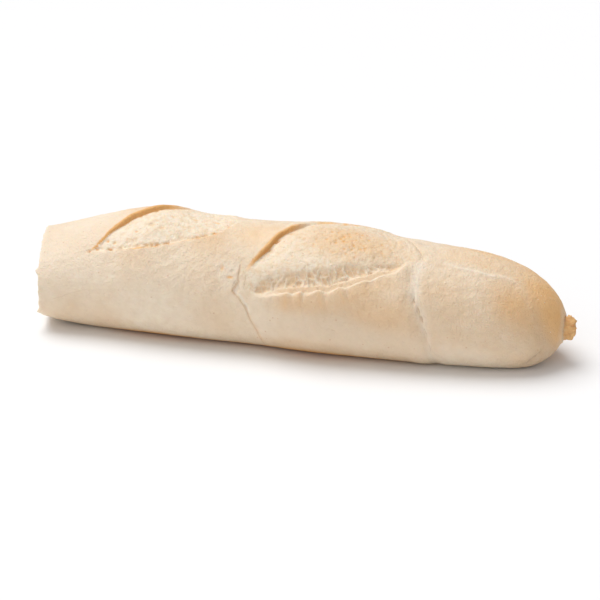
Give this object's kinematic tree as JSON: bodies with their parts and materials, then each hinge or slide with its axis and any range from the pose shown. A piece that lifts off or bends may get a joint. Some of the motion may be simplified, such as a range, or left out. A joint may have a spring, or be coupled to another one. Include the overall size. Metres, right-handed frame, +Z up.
{
  "type": "baguette",
  "caption": "Pale part-baked half baguette: a long loaf with a flat underside, cut across at one end, rounded at the other, and slashed slantwise along its top.",
  "frame": {"origin": "centre of the loaf's box, on the surface that its flat underside rests on", "axes": "+X along the loaf towards its rounded end, so the cut end is at -X; +Z up; -Y is the front, the side where both slashes start low and the lip stands out most"},
  "size_m": [0.2338, 0.0644, 0.0484],
  "materials": {
    "crust": null
  },
  "bodies": {
    "root": {"baguette": "crust"}
  },
  "joints": []
}
